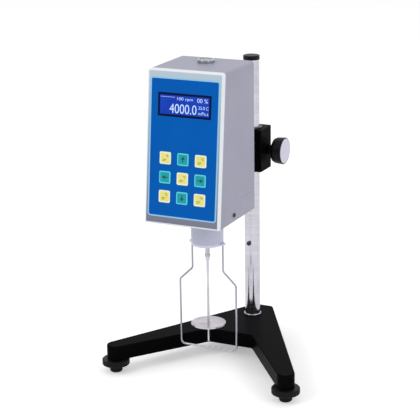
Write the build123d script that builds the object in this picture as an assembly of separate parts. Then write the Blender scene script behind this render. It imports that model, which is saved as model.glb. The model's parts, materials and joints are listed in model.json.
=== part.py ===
from build123d import *
from math import acos, cos, hypot, pi, radians, sin, sqrt, tan
import os

# A bench rotational viscometer. Millimetres, +Z up, the front faces -Y.
# Places are first given from the spindle axis, and every piece is moved at the end
# so that the origin lies at the bottom centre of the whole instrument.

# Fits
running = 0.05
slip = 0.02
seam = 0.15
small_gap = 0.3
over = 1.0

# Front panel, in the order in which it runs down the sloping face
margin_above = 9.8
window_drop = 19.2
window_h = 30.4
window_to_keys = 45.6
key_rows = 3
key_columns = 3
key_pitch = 25.0
key_size = 16.0
keys_to_edge = 19.0
margin_below = 10.1
margin_side = 4.25
sheet_r = 4.0
sheet_t = 0.5
window_w = 75.0
window_t = 1.5
window_sunk = 0.1
window_ledge = 3.0
key_r = 2.0
key_proud = 0.5
key_cap_t = 1.4
key_stem = 10.0
key_travel = 0.4
stem_reserve = 0.15
display_frame = 3.0
display_body_t = 9.0
board_t = 1.6
key_board_gap = 2.0
key_board_rim = 8.0
board_post_r = 2.5

# Head
head_w = 106.0
head_bottom_z = 237.0
front_lean = 21.0
front_clear = 3.0
head_back_y = 36.5
shell_wall = 2.0
head_corner_r = 4.0
bezel_t = 6.0
bezel_chamfer = 1.4
rear_cover_t = 6.0
pan_t = 3.0
tab_d = 36.5
tab_h = 25.0
ear_t = 6.0
ear_w = 12.0
screw_r = 1.5
screw_head_r = 2.8
screw_head_h = 1.6
screw_l = 7.0
screw_post_r = 4.0
side_screw_y = -30.0
side_screw_up = 8.5
rear_screw_side = 7.0
rear_screw_up = 7.0
rear_screw_down = 9.0
vent_rows = 4
vent_w = 56.0
vent_h = 2.4
vent_pitch = 6.0
vent_up = 12.0

# Bubble level
level_y = 4.0
level_r = 11.25
level_h = 4.8
level_peg_r = 2.2
vial_r = 8.6
vial_h = 3.9
vial_sunk = 0.5

# Boss and guard, down from the head's underside
boss_r = 21.8
boss_l = 42.0
boss_wall = 3.0
boss_floor = 4.0
collar_r = 5.5
collar_l = 7.0
pivot_guide_l = 4.0
guard_ring_t = 3.0
guard_wire_r = 1.25
guard_bend_r = 6.0
guard_neck_x = 22.6
guard_x = 41.5
guard_neck_l = 40.0
guard_shoulder_l = 58.0
guard_l = 152.0
ear_wall = 1.4
guard_ear_w = 6.4

# Spindle
pivot_r = 1.5
coupling_r = 3.0
coupling_l = 14.0
coupling_gap = 4.3
pivot_grip = 5.0
stud_l = 5.5
knurl_r = 3.7
knurl_l = 3.3
hub_r = 2.6
hub_l = 5.1
shaft_r = 1.6
spindle_l = 124.3
disc_r = 23.465
disc_t = 1.65
tip_below_disc = 26.4

# Drive inside the head
gear_module = 1.0
drive_teeth = 56
motor_teeth = 16
gear_face = 8.0
gear_up = 9.0
gear_web_holes = 6
web_hole_r = 5.0
gear_plate_up = 9.0
gear_plate_t = 4.0
plate_side_gap = 9.0
plate_back_gap = 4.0
post_r = 4.0
post_edge = 1.0
drive_r = 7.0
drive_bore_r = 4.0
drive_foot = 3.0
shoulder_r = 10.5
shoulder_h = 3.0
bearing_r = 13.0
bearing_l = 14.0
cup_r = 19.0
cup_wall = 1.8
cup_floor = 2.0
cup_h = 13.0
cup_gap = 1.0
motor_side = 35.0
motor_h = 30.0
motor_corner_r = 4.0
motor_shaft_r = 2.5
motor_end = 8.0
pilot_r = 6.5
spring_turns = 5
spring_step = 2.6
spring_strip = 0.5
spring_h = 5.0
spring_inner_r = 4.2
spring_up = 2.0
hub_disc_r = 3.0
hub_disc_gap = 0.6
pivot_over = 1.0

# Electronics and rear connections
board_h = 120.0
board_d = 56.0
board_drop = 16.0
board_standoff = 4.0
board_foot_r = 3.0
board_foot_in = 5.0
chip_t = 3.0
chip_rows = 4
chip_pitch = 27.0
chip_w = 15.0
supply_w = 64.0
supply_d = 26.0
supply_h = 48.0
supply_up = 14.0
port_up = 8.0
port_lip = 2.0
port_depth = 20.0
inlet_w = 27.0
inlet_h = 20.0
inlet_wall = 1.4
inlet_corner_r = 2.5
inlet_deep = 14.0
blade_w = 2.0
blade_h = 5.0
blade_out = 6.5
rocker_w = 12.6
rocker_h = 19.0
rocker_wall = 1.3
rocker_gap = 0.7
rocker_tilt = 6.0
rocker_deep = 11.0
rocker_pin_r = 1.0
rocker_pin_in = 3.0
serial_w = 31.0
serial_h = 12.5
serial_shell_w = 19.0
serial_shell_h = 9.2
serial_shell_out = 5.5
serial_shell_wall = 1.1
serial_pin_r = 0.5
serial_pin_pitch = 2.77
serial_row = 1.4
serial_nut_r = 2.4
serial_nut_x = 12.5

# Levelling feet and base
wheel_r = 19.0
wheel_t = 8.0
wheel_gap = 2.0
wheel_clear = 1.0
wheel_ribs = 24
rib_cut_r = 1.7
wheel_chamfer = 0.8
foot_stud_r = 5.0
foot_neck_r = 4.0
neck_seat = 3.7
foot_pad_r = 8.8
foot_pad_h = 9.0
foot_pad_round = 3.0
base_h = 20.0
base_wall = 6.0
base_round = 1.6
base_corner_r = 6.0
foot_x = 127.0
foot_y = -33.5
leg_end_r = 12.0
base_back_w = 28.0
web_y = 71.0
web_w = 66.0

# Column
column_y = 149.5
column_r = 11.0
column_top_z = 415.0
column_seat = 10.0
seat_wall = 12.0
base_behind = 41.5
rear_foot_behind = 21.5
cap_h = 6.0
cap_lip = 0.5
cap_round = 1.2
ring_lip = 1.5
ring_h = 3.0
stop_z = 151.0
stop_r = 1.5
stop_l = 6.0
stop_head_r = 3.25
stop_head_h = 2.4
bolt_r = 4.0
bolt_head_r = 6.5
bolt_head_h = 6.0
bolt_l = 24.0
bolt_play = 0.4

# Carriage and lift
rod_up = 58.0
rod_r = 7.0
rod_flange_r = 22.0
rod_flange_t = 5.0
rod_screw_r = 2.0
rod_screw_edge = 6.0
rod_screw_head_r = 3.6
rod_screw_head_h = 4.0
rod_screw_in = 5.0
socket_wall = 7.0
socket_l = 22.5
clamp_screw_r = 3.0
clamp_head_r = 5.0
clamp_head_h = 6.0
dimple = 1.5
lift_below_rod = 10.5
block_w = 40.0
block_before = 15.0
block_behind = 23.0
block_below = 26.0
block_above = 34.0
block_corner_r = 2.0
bore_relief = 0.5
bush_wall = 2.5
bush_l = 10.0
bush_lip = 1.0
bush_lip_t = 1.5
slit_t = 1.8
slit_before = 4.0
rack_module = 0.9
rack_w = 8.0
rack_depth = 7.0
rack_l = 208.0
rack_drop = 7.0
rack_sunk = 0.75
rack_end = 2.0
pinion_teeth = 14
pinion_w = 7.0
pinion_gap = 0.6
tooth_top = 0.65
tooth_root = 0.9
tooth_play = 0.2
lift_shaft_r = 3.0
shaft_end_in = 1.0
knob_r = 19.0
knob_back_r = 16.5
knob_gap = 0.8
knob_neck_l = 7.7
knob_neck_r = 7.0
knob_l = 15.5
knob_cone_l = 3.5
knob_round = 0.8
knob_face_r = 17.6
knob_face_t = 1.0
friction_r = 3.0
friction_head_r = 6.5
friction_head_l = 9.0
friction_out = 2.0
friction_ribs = 18
friction_rib_r = 0.7

# Places that follow from the sizes
pressure_angle = radians(20)
keys_h = key_pitch * (key_rows - 1) + key_size
keys_w = key_pitch * (key_columns - 1) + key_size
sheet_h = window_drop + window_h + window_to_keys + keys_h + keys_to_edge
sheet_w = head_w - 2 * margin_side
sheet_middle = margin_above + sheet_h / 2
window_middle = margin_above + window_drop + window_h / 2
first_key_row = margin_above + window_drop + window_h + window_to_keys + key_size / 2
board_middle = first_key_row + key_pitch * (key_rows - 1) / 2
face_l = margin_above + sheet_h + margin_below
head_h = sqrt(face_l**2 - front_lean**2)
head_top_z = head_bottom_z + head_h
cover_back_y = head_back_y - rear_cover_t
gear_centres = gear_module * (drive_teeth + motor_teeth) / 2
front_top_y = -(gear_centres + motor_side / 2 + front_clear)
front_bottom_y = front_top_y - front_lean
inner_x = head_w / 2 - shell_wall
boss_bottom_z = head_bottom_z - boss_l
guard_bottom_z = boss_bottom_z - guard_l
coupling_top_z = boss_bottom_z - coupling_gap
coupling_bottom_z = coupling_top_z - coupling_l
spindle_tip_z = coupling_bottom_z - spindle_l
disc_z = spindle_tip_z + tip_below_disc
gear_z = head_bottom_z + pan_t + gear_up
gear_plate_z = gear_z + gear_face + gear_plate_up
motor_z = gear_plate_z + gear_plate_t
cup_z = motor_z + motor_h + cup_gap
supply_z = cup_z + cup_h + supply_up
port_z = supply_z + supply_h + port_up + port_lip + inlet_h / 2
port_space = (2 * inner_x - inlet_w - rocker_w - serial_w) / 4
inlet_x = -inner_x + port_space + inlet_w / 2
rocker_x = inlet_x + inlet_w / 2 + port_space + rocker_w / 2
serial_x = rocker_x + rocker_w / 2 + port_space + serial_w / 2
wheel_z = foot_pad_h + wheel_gap
base_bottom_z = wheel_z + wheel_t + wheel_clear
base_top_z = base_bottom_z + base_h
stud_top_z = base_top_z - base_wall - over
base_back_y = column_y + base_behind
feet = {
    "left": (-foot_x, foot_y),
    "right": (foot_x, foot_y),
    "rear": (0.0, column_y + rear_foot_behind),
}
column_seat_z = base_top_z - column_seat
bolt_seat_z = base_bottom_z + bolt_head_h + small_gap
bolt_top_z = bolt_seat_z + bolt_l
rack_top_z = column_top_z - rack_drop
rack_bottom_z = rack_top_z - rack_l
rack_back_y = column_y + column_r - rack_depth
rack_pitch_y = column_y + column_r - tooth_top - rack_sunk
pinion_r = rack_module * pinion_teeth / 2
lift_y = rack_pitch_y + pinion_r
rod_z = head_bottom_z + rod_up
lift_z = rod_z - lift_below_rod
rod_screw_circle = rod_flange_r - rod_screw_edge
block_front_y = column_y - block_before
block_back_y = column_y + block_behind
block_bottom_z = lift_z - block_below
block_top_z = lift_z + block_above
socket_r = rod_r + socket_wall
socket_y = block_front_y - socket_l
clamp_y = block_front_y - socket_l / 2
bush_r = column_r + bush_wall
knob_back_x = block_w / 2 + knob_gap + knob_neck_l
knob_face_x = knob_back_x + knob_l

front = Plane(
    origin=(0, front_top_y, head_top_z),
    x_dir=(1, 0, 0),
    z_dir=(0, -head_h, front_lean),
).location
frame_shift = Pos(0, -(front_bottom_y + base_back_y) / 2, 0)
parts = {}


def keep(name, shape):
    parts[name] = frame_shift * shape


def box(x0, x1, y0, y1, z0, z1):
    middle = Pos((x0 + x1) / 2, (y0 + y1) / 2, (z0 + z1) / 2)
    return middle * Box(x1 - x0, y1 - y0, z1 - z0)


def upright(r, z0, z1, x=0.0, y=0.0):
    return Pos(x, y, (z0 + z1) / 2) * Cylinder(r, z1 - z0)


def bar_x(r, x0, x1, y, z):
    return Pos((x0 + x1) / 2, y, z) * Rot(0, 90, 0) * Cylinder(r, x1 - x0)


def bar_y(r, y0, y1, x, z):
    return Pos(x, (y0 + y1) / 2, z) * Rot(90, 0, 0) * Cylinder(r, y1 - y0)


def side_shape(points, x0, x1):
    """A profile of (y, z) points, extruded along X."""
    outline = Polyline(*[(x0, y, z) for y, z in points], close=True)
    return extrude(make_face(outline), amount=x1 - x0, dir=(1, 0, 0))


def on_front(across, down, out, w, h, t, r=0.0):
    """A slab on the front face, by its centre, its outer side and its thickness."""
    outline = RectangleRounded(w, h, r) if r else Rectangle(w, h)
    return front * Pos(across, -down, out - t) * extrude(outline, amount=t)


def around(count, r, start=0.0):
    """Places spread evenly on a circle."""
    for step in range(count):
        angle = start + 2 * pi * step / count
        yield r * cos(angle), r * sin(angle)


def gear(module, teeth, face, top, root, phase):
    """A spur gear with involute flanks, each cut back by half of the play."""
    pitch_r = module * teeth / 2
    base_r = pitch_r * cos(pressure_angle)
    root_r = pitch_r - root
    involute = tan(pressure_angle) - pressure_angle
    half = pi / (2 * teeth) - tooth_play / (2 * pitch_r)
    start_r = max(base_r, root_r)
    points = []
    for tooth in range(teeth):
        middle = phase + 2 * pi * tooth / teeth
        flank = []
        for step in range(4):
            r = start_r + (pitch_r + top - start_r) * step / 3
            roll = acos(base_r / r)
            flank.append((r, half + involute - (tan(roll) - roll)))
        if root_r < base_r:
            flank.insert(0, (root_r, flank[0][1]))
        sides = [(r, -a) for r, a in flank] + [(r, a) for r, a in reversed(flank)]
        points += [(r * cos(middle + a), r * sin(middle + a)) for r, a in sides]
    return extrude(make_face(Polyline(*points, close=True)), amount=face)


def socket_screw(r, length, head_r, head_h):
    """A cap screw along +Z, with its head's seat at z = 0 and its shank below."""
    head = Pos(0, 0, head_h / 2) * Cylinder(head_r, head_h)
    socket = extrude(RegularPolygon(head_r / 2, 6), amount=-head_h / 2)
    return head - Pos(0, 0, head_h) * socket + Pos(0, 0, -length / 2) * Cylinder(r, length)


# Head housing

def head_block():
    block = side_shape(
        [
            (front_top_y, head_top_z), (head_back_y, head_top_z),
            (head_back_y, head_bottom_z), (front_bottom_y, head_bottom_z),
        ],
        -head_w / 2, head_w / 2,
    )
    return fillet(block.edges().filter_by(Axis.Y).group_by(Axis.Z)[-1], head_corner_r)


head_solid = head_block()
bezel_slab = on_front(0, face_l / 2, head_w, 2 * head_w, 2 * face_l, head_w + bezel_t)
rear_slab = box(-head_w, head_w, cover_back_y, head_back_y + over, 0, head_top_z + over)
side_screw_z = head_bottom_z + side_screw_up
rear_screws = [
    (side * (head_w / 2 - rear_screw_side), z)
    for side in (-1, 1)
    for z in (head_bottom_z + rear_screw_up, head_top_z - rear_screw_down)
]
rod_screws = [(x, rod_z + z) for x, z in around(4, rod_screw_circle, pi / 4)]


def pan_tabs(margin):
    """The pan's two tabs, each filling a notch low at the rear of the cover."""
    tabs = []
    for side in (-1, 1):
        x0, x1 = sorted((side * (inner_x - slip), side * head_w / 2))
        tabs.append(box(
            x0, x1, cover_back_y - tab_d - margin, cover_back_y,
            head_bottom_z, head_bottom_z + tab_h + margin,
        ))
    return tabs


def head_cover():
    cover = head_solid - bezel_slab - rear_slab - box(
        -inner_x, inner_x, front_bottom_y, head_back_y + over,
        head_bottom_z - over, head_top_z - shell_wall,
    )
    for notch in pan_tabs(seam):
        cover -= notch
    cover -= bar_x(screw_r + running, -head_w, head_w, side_screw_y, side_screw_z)
    cover -= upright(level_peg_r, head_top_z - shell_wall - over, head_top_z + over, 0, level_y)
    keep("head_cover", cover)


def bottom_pan():
    pan = (head_solid - bezel_slab) & box(
        slip - inner_x, inner_x - slip, front_bottom_y, cover_back_y,
        head_bottom_z, head_bottom_z + pan_t,
    )
    for tab in pan_tabs(0):
        pan += tab
    for side in (-1, 1):
        x0, x1 = sorted((side * (inner_x - slip), side * (inner_x - slip - ear_t)))
        pan += box(
            x0, x1, side_screw_y - ear_w / 2, side_screw_y + ear_w / 2,
            head_bottom_z + pan_t, side_screw_z + ear_w / 2,
        )
        pan -= bar_x(screw_r + running, x0 - over, x1 + over, side_screw_y, side_screw_z)
    pan -= upright(boss_r - boss_wall, head_bottom_z - over, head_bottom_z + pan_t + over)
    keep("bottom_pan", pan)


def rear_opening(x, w, h):
    return box(x - w / 2, x + w / 2, cover_back_y - over, head_back_y + over,
               port_z - h / 2, port_z + h / 2)


def rear_cover():
    plate = (head_solid & rear_slab) - box(
        -inner_x, inner_x, cover_back_y - over, head_back_y - shell_wall,
        head_bottom_z + shell_wall, head_top_z - shell_wall,
    )
    plate -= rear_opening(inlet_x, inlet_w, inlet_h)
    plate -= rear_opening(rocker_x, rocker_w, rocker_h)
    plate -= rear_opening(serial_x, serial_w, serial_h)
    for row in range(vent_rows):
        z = head_bottom_z + vent_up + vent_pitch * row
        plate -= box(-vent_w / 2, vent_w / 2, cover_back_y, head_back_y + over, z, z + vent_h)
    for x, z in rear_screws:
        plate += bar_y(screw_post_r, cover_back_y, head_back_y - shell_wall, x, z)
        plate -= bar_y(screw_r + slip, cover_back_y - over, head_back_y + over, x, z)
    for x, z in rod_screws:
        plate -= bar_y(rod_screw_r + slip, cover_back_y, head_back_y + over, x, z)
    keep("rear_cover", plate)


def cover_screws():
    screws = []
    for side in (-1, 1):
        screw = socket_screw(screw_r, screw_l, screw_head_r, screw_head_h)
        place = Pos(side * head_w / 2, side_screw_y, side_screw_z) * Rot(0, side * 90, 0)
        screws.append(place * screw)
    for x, z in rear_screws:
        screw = socket_screw(screw_r, rear_cover_t - small_gap, screw_head_r, screw_head_h)
        screws.append(Pos(x, head_back_y, z) * Rot(-90, 0, 0) * screw)
    keep("cover_screws", Part() + screws)


# Front panel

key_places = {
    f"key_{row + 1}_{column + 1}": (
        (column - (key_columns - 1) / 2) * key_pitch,
        first_key_row + row * key_pitch,
    )
    for row in range(key_rows)
    for column in range(key_columns)
}
key_floor = key_proud - key_cap_t - key_travel - small_gap
board_out = -bezel_t - key_board_gap
stem_l = key_proud - key_cap_t - key_travel - stem_reserve - board_out
key_board_w = keys_w + key_board_rim
key_board_h = keys_h + key_board_rim


def front_bezel():
    bezel = head_solid & bezel_slab
    outer_face = bezel.faces().sort_by(SortBy.AREA)[-2:].sort_by(Axis.Y)[0]
    bezel = chamfer(outer_face.edges(), bezel_chamfer)
    bezel -= on_front(0, sheet_middle, over, sheet_w + 2 * slip, sheet_h + 2 * slip,
                      over + sheet_t, sheet_r + slip)
    bezel -= on_front(0, window_middle, over, window_w + 2 * slip, window_h + 2 * slip,
                      over + sheet_t + window_t)
    bezel -= on_front(0, window_middle, over, window_w - 2 * window_ledge,
                      window_h - 2 * window_ledge, bezel_t + 2 * over)
    hole = key_size + 2 * small_gap
    stem_hole = key_stem + 2 * small_gap
    for across, down in key_places.values():
        bezel -= on_front(across, down, over, hole, hole, over - key_floor, key_r + small_gap)
        bezel -= on_front(across, down, over, stem_hole, stem_hole, bezel_t + 2 * over)
    for across in (-1, 1):
        for down in (-1, 1):
            x = across * (key_board_w / 2 - board_post_r)
            y = board_middle + down * (key_board_h / 2 - board_post_r)
            post = Cylinder(board_post_r, key_board_gap)
            bezel += front * Pos(x, -y, board_out + key_board_gap / 2) * post
    keep("front_bezel", bezel)


def panel_sheet():
    sheet = on_front(0, sheet_middle, 0, sheet_w, sheet_h, sheet_t, sheet_r)
    sheet -= on_front(0, window_middle, over, window_w, window_h, sheet_t + 2 * over)
    hole = key_size + 2 * small_gap
    for across, down in key_places.values():
        sheet -= on_front(across, down, over, hole, hole, sheet_t + 2 * over, key_r + small_gap)
    keep("panel_sheet", sheet)


def display():
    keep("display_window", on_front(
        0, window_middle, -window_sunk, window_w - 2 * slip, window_h - 2 * slip,
        sheet_t + window_t - window_sunk,
    ))
    keep("display_module", on_front(
        0, window_middle, -bezel_t, window_w + 2 * display_frame, window_h + 2 * display_frame,
        display_body_t,
    ))


def keys():
    for name, (across, down) in key_places.items():
        cap = on_front(across, down, key_proud, key_size, key_size, key_cap_t, key_r)
        stem = on_front(across, down, key_proud - key_cap_t, key_stem, key_stem, stem_l)
        keep(name, cap + stem)


def key_board():
    keep("key_board", on_front(0, board_middle, board_out, key_board_w, key_board_h, board_t))


# Electronics and rear connections

def main_board():
    board_x = board_standoff - inner_x
    y1 = head_back_y - port_depth - port_lip
    y0 = y1 - board_d
    z1 = head_top_z - board_drop
    z0 = z1 - board_h
    board = box(board_x, board_x + board_t, y0, y1, z0, z1)
    for y in (y0 + board_foot_in, y1 - board_foot_in):
        for z in (z0 + board_foot_in, z1 - board_foot_in):
            board += bar_x(board_foot_r, -inner_x, board_x, y, z)
    for row in range(chip_rows):
        z = z0 + chip_w + chip_pitch * row
        y = (y0 + y1) / 2
        board += box(board_x + board_t, board_x + board_t + chip_t, y - chip_w, y + chip_w / 2,
                     z - chip_w / 2, z + chip_w / 2)
    keep("main_board", board)


def power_supply():
    y1 = head_back_y - shell_wall
    keep("power_supply", box(-supply_w / 2, supply_w / 2, y1 - supply_d, y1,
                             supply_z, supply_z + supply_h))


def power_inlet():
    body = box(inlet_x - inlet_w / 2 + slip, inlet_x + inlet_w / 2 - slip,
               head_back_y - port_depth, head_back_y,
               port_z - inlet_h / 2 + slip, port_z + inlet_h / 2 - slip)
    body += box(inlet_x - inlet_w / 2 - port_lip, inlet_x + inlet_w / 2 + port_lip,
                head_back_y, head_back_y + port_lip,
                port_z - inlet_h / 2 - port_lip, port_z + inlet_h / 2 + port_lip)
    mouth = RectangleRounded(inlet_w - 2 * inlet_wall, inlet_h - 2 * inlet_wall, inlet_corner_r)
    floor_y = head_back_y + port_lip - inlet_deep
    body -= Pos(inlet_x, floor_y, port_z) * extrude(Plane.XZ * mouth, amount=-inlet_deep - over)
    for x, z in ((0, blade_h / 2), (-blade_out, -blade_w), (blade_out, -blade_w)):
        body += box(inlet_x + x - blade_w / 2, inlet_x + x + blade_w / 2,
                    floor_y, head_back_y - over,
                    port_z + z - blade_h / 2, port_z + z + blade_h / 2)
    keep("power_inlet", body)


def power_switch():
    half_w = rocker_w / 2
    half_h = rocker_h / 2
    pin_y = head_back_y - rocker_pin_in
    frame = box(rocker_x - half_w + slip, rocker_x + half_w - slip,
                head_back_y - rocker_deep - port_lip, head_back_y,
                port_z - half_h + slip, port_z + half_h - slip)
    frame += box(rocker_x - half_w - rocker_wall, rocker_x + half_w + rocker_wall,
                 head_back_y, head_back_y + port_lip,
                 port_z - half_h - rocker_wall, port_z + half_h + rocker_wall)
    frame -= box(rocker_x - half_w + rocker_wall, rocker_x + half_w - rocker_wall,
                 head_back_y - rocker_deep, head_back_y + port_lip + over,
                 port_z - half_h + rocker_wall, port_z + half_h - rocker_wall)
    pin_half = half_w - rocker_wall / 2
    frame -= bar_x(rocker_pin_r, rocker_x - pin_half, rocker_x + pin_half, pin_y, port_z)
    keep("rocker_frame", frame)

    reach = half_h - rocker_wall - rocker_gap
    lip_y = head_back_y + port_lip
    rocker = side_shape(
        [
            (pin_y - 1.5 * rocker_pin_in, port_z - reach / 2),
            (pin_y - 1.5 * rocker_pin_in, port_z + reach / 2),
            (head_back_y, port_z + reach), (lip_y + rocker_gap, port_z + 0.9 * reach),
            (lip_y - rocker_gap, port_z),
            (lip_y + rocker_gap, port_z - 0.9 * reach), (head_back_y, port_z - reach),
        ],
        rocker_x - half_w + rocker_wall + small_gap, rocker_x + half_w - rocker_wall - small_gap,
    )
    pin_half -= slip
    rocker += bar_x(rocker_pin_r - running, rocker_x - pin_half, rocker_x + pin_half, pin_y, port_z)
    keep("power_rocker", rocker.rotate(Axis((0, pin_y, port_z), (1, 0, 0)), -rocker_tilt))


def serial_port():
    half_w = serial_shell_w / 2
    half_h = serial_shell_h / 2
    lip_y = head_back_y + serial_shell_wall
    port = box(serial_x - half_w, serial_x + half_w, head_back_y - port_depth / 2,
               head_back_y + serial_shell_out, port_z - half_h, port_z + half_h)
    port += box(serial_x - serial_w / 2 + slip, serial_x + serial_w / 2 - slip,
                cover_back_y + shell_wall, lip_y,
                port_z - serial_h / 2 + slip, port_z + serial_h / 2 - slip)
    port -= box(serial_x - half_w + serial_shell_wall, serial_x + half_w - serial_shell_wall,
                lip_y, head_back_y + serial_shell_out + over,
                port_z - half_h + serial_shell_wall, port_z + half_h - serial_shell_wall)
    for z, count in ((serial_row, 5), (-serial_row, 4)):
        for pin in range(count):
            x = serial_x + (pin - (count - 1) / 2) * serial_pin_pitch
            port += bar_y(serial_pin_r, lip_y, head_back_y + serial_shell_out - over,
                          x, port_z + z)
    for side in (-1, 1):
        port += bar_y(serial_nut_r, lip_y, head_back_y + serial_shell_out - over,
                      serial_x + side * serial_nut_x, port_z)
    keep("serial_port", port)


# Bubble level

def bubble_level():
    top = head_top_z + level_h
    cup = upright(level_r, head_top_z, top, 0, level_y)
    cup = fillet(cup.edges().group_by(Axis.Z)[-1], (level_r - vial_r) / 2)
    cup -= upright(vial_r + slip, top - vial_h, top + over, 0, level_y)
    cup += upright(level_peg_r - slip, head_top_z - shell_wall, head_top_z, 0, level_y)
    keep("level_cup", cup)
    vial = upright(vial_r, top - vial_h, top - vial_sunk, 0, level_y)
    keep("level_vial", fillet(vial.edges().group_by(Axis.Z)[-1], vial_sunk))


# Boss, guard and spindle

def boss():
    guide_top = boss_bottom_z + boss_floor + pivot_guide_l
    body = upright(boss_r, boss_bottom_z, head_bottom_z)
    body -= upright(boss_r - boss_wall, boss_bottom_z + boss_floor, head_bottom_z + over)
    body += upright(collar_r, boss_bottom_z - collar_l, guide_top)
    body -= upright(coupling_r + over, boss_bottom_z - collar_l - over, boss_bottom_z)
    body -= upright(pivot_r + running, boss_bottom_z - over, guide_top + over)
    keep("lower_boss", body)


def guard():
    ring_z = boss_bottom_z - guard_ring_t
    ear_x = guard_neck_x + guard_wire_r + ear_wall
    ring = upright(boss_r, ring_z, boss_bottom_z)
    ring += box(-ear_x, ear_x, -guard_ear_w / 2, guard_ear_w / 2, ring_z, boss_bottom_z)
    ring -= upright(collar_r + slip, ring_z - over, boss_bottom_z + over)
    for side in (-1, 1):
        ring -= upright(guard_wire_r + slip, ring_z - over, boss_bottom_z + over,
                        side * guard_neck_x)
    keep("guard_ring", ring)

    half = [
        (guard_neck_x, boss_bottom_z), (guard_neck_x, boss_bottom_z - guard_neck_l),
        (guard_x, boss_bottom_z - guard_shoulder_l), (guard_x, guard_bottom_z),
    ]
    points = [(-x, 0, z) for x, z in half] + [(x, 0, z) for x, z in reversed(half)]
    path = FilletPolyline(*points, radius=guard_bend_r)
    section = Pos(*points[0]) * Circle(guard_wire_r)
    keep("guard_frame", sweep(section, path=path))


def spindle():
    coupling = upright(coupling_r, coupling_bottom_z, coupling_top_z)
    coupling -= upright(pivot_r, coupling_top_z - pivot_grip, coupling_top_z + over)
    coupling -= upright(pivot_r, coupling_bottom_z - over, coupling_bottom_z + stud_l + small_gap)
    keep("spindle_coupling", coupling)

    knurl_z = coupling_bottom_z - knurl_l
    hub_z = knurl_z - hub_l
    turned = upright(pivot_r - slip, coupling_bottom_z, coupling_bottom_z + stud_l)
    turned += upright(knurl_r, knurl_z, coupling_bottom_z)
    turned += upright(hub_r, hub_z, knurl_z)
    turned += upright(shaft_r, spindle_tip_z, hub_z)
    turned += upright(disc_r, disc_z - disc_t / 2, disc_z + disc_t / 2)
    keep("spindle", turned)


# Drive

def gear_plate():
    bearing_z = gear_plate_z - (bearing_l - gear_plate_t) / 2
    half = inner_x - plate_side_gap
    y0 = front_top_y
    y1 = cover_back_y - plate_back_gap
    plate = box(-half, half, y0, y1, gear_plate_z, motor_z)
    edge = post_r + post_edge
    for x in (-half + edge, half - edge):
        for y in (y0 + edge, y1 - edge):
            plate += upright(post_r, head_bottom_z + pan_t, gear_plate_z, x, y)
    plate += upright(bearing_r, bearing_z, bearing_z + bearing_l)
    plate -= upright(drive_r + running, bearing_z - over, bearing_z + bearing_l + over)
    plate -= upright(pilot_r, gear_plate_z - over, motor_z + over, 0, -gear_centres)
    keep("gear_plate", plate)


def drive():
    tooth_tip = 0.9 * gear_module
    tooth_base = 1.2 * gear_module
    wheel = gear(gear_module, drive_teeth, gear_face, tooth_tip, tooth_base, -pi / 2)
    wheel = Pos(0, 0, gear_z) * wheel
    wheel -= upright(drive_r + slip, gear_z - over, gear_z + gear_face + over)
    middle_r = (drive_r + gear_module * drive_teeth / 2) / 2
    for x, y in around(gear_web_holes, middle_r):
        wheel -= upright(web_hole_r, gear_z - over, gear_z + gear_face + over, x, y)
    keep("drive_gear", wheel)

    shoulder_z = motor_z + (bearing_l - gear_plate_t) / 2 + small_gap
    shaft = upright(drive_r, gear_z - drive_foot, cup_z)
    shaft += upright(shoulder_r, shoulder_z, shoulder_z + shoulder_h)
    shaft += upright(cup_r, cup_z, cup_z + cup_h)
    shaft -= upright(cup_r - cup_wall, cup_z + cup_floor, cup_z + cup_h + over)
    shaft -= upright(drive_bore_r, gear_z - drive_foot - over, cup_z)
    shaft -= upright(pivot_r + running, cup_z - over, cup_z + cup_floor + over)
    keep("drive_shaft", shaft)

    floor_z = cup_z + cup_floor
    pivot = upright(pivot_r, coupling_top_z - pivot_grip, cup_z + cup_h + pivot_over)
    pivot += upright(hub_disc_r, floor_z + hub_disc_gap, cup_z + cup_h - hub_disc_gap)
    keep("pivot_shaft", pivot)

    half_plane = 2 * cup_r
    spring = None
    for half_turn in range(2 * spring_turns):
        r = spring_inner_r + half_turn * spring_step / 2
        side = 1 if half_turn % 2 == 0 else -1
        ring = Pos(-side * spring_step / 4, 0) * (Circle(r + spring_strip) - Circle(r))
        arc = ring & Pos(0, side * half_plane / 2) * Rectangle(2 * half_plane, half_plane)
        strip = extrude(arc, amount=spring_h)
        spring = strip if spring is None else spring + strip
    keep("calibrated_spring", Pos(0, 0, floor_z + spring_up) * spring)


def motor():
    shell = extrude(RectangleRounded(motor_side, motor_side, motor_corner_r), amount=motor_h)
    shell = Pos(0, -gear_centres, motor_z) * shell
    shaft_top = motor_z + motor_h - motor_end
    shell -= upright(motor_shaft_r + running, motor_z - over, shaft_top, 0, -gear_centres)
    keep("motor", shell)

    phase = pi / 2 + pi / motor_teeth
    teeth = gear(gear_module, motor_teeth, gear_face, 0.9 * gear_module, 1.2 * gear_module, phase)
    pinion = Pos(0, -gear_centres, gear_z) * teeth
    pinion += upright(motor_shaft_r, gear_z - over, shaft_top - over, 0, -gear_centres)
    keep("motor_pinion", pinion)


# Stand

def base_plan(inset):
    """The V seen from above, drawn in by an inset. The legs end in arcs about the feet."""
    back_x = base_back_w / 2
    foot = Vector(foot_x, foot_y)
    outer_way = Vector(foot_x - back_x, foot_y - base_back_y).normalized()
    inner_way = Vector(foot_x - web_w / 2, foot_y - web_y).normalized()
    r = leg_end_r - inset
    outer_end = foot + Vector(-outer_way.Y, outer_way.X) * r
    inner_end = foot + Vector(inner_way.Y, -inner_way.X) * r
    tip = foot + (outer_way + inner_way).normalized() * r
    back = Vector(back_x - inset / 2, base_back_y - inset)
    web = Vector(web_w / 2 - inset / 2, web_y + inset)
    right = [back, outer_end, tip, inner_end, web]
    left = [Vector(-point.X, point.Y) for point in right]
    edges = [Line(web, left[4]), Line(left[0], back)]
    for side in (right, left):
        edges += [Line(side[0], side[1]), ThreePointArc(*side[1:4]), Line(side[3], side[4])]
    return make_face(edges)


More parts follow.
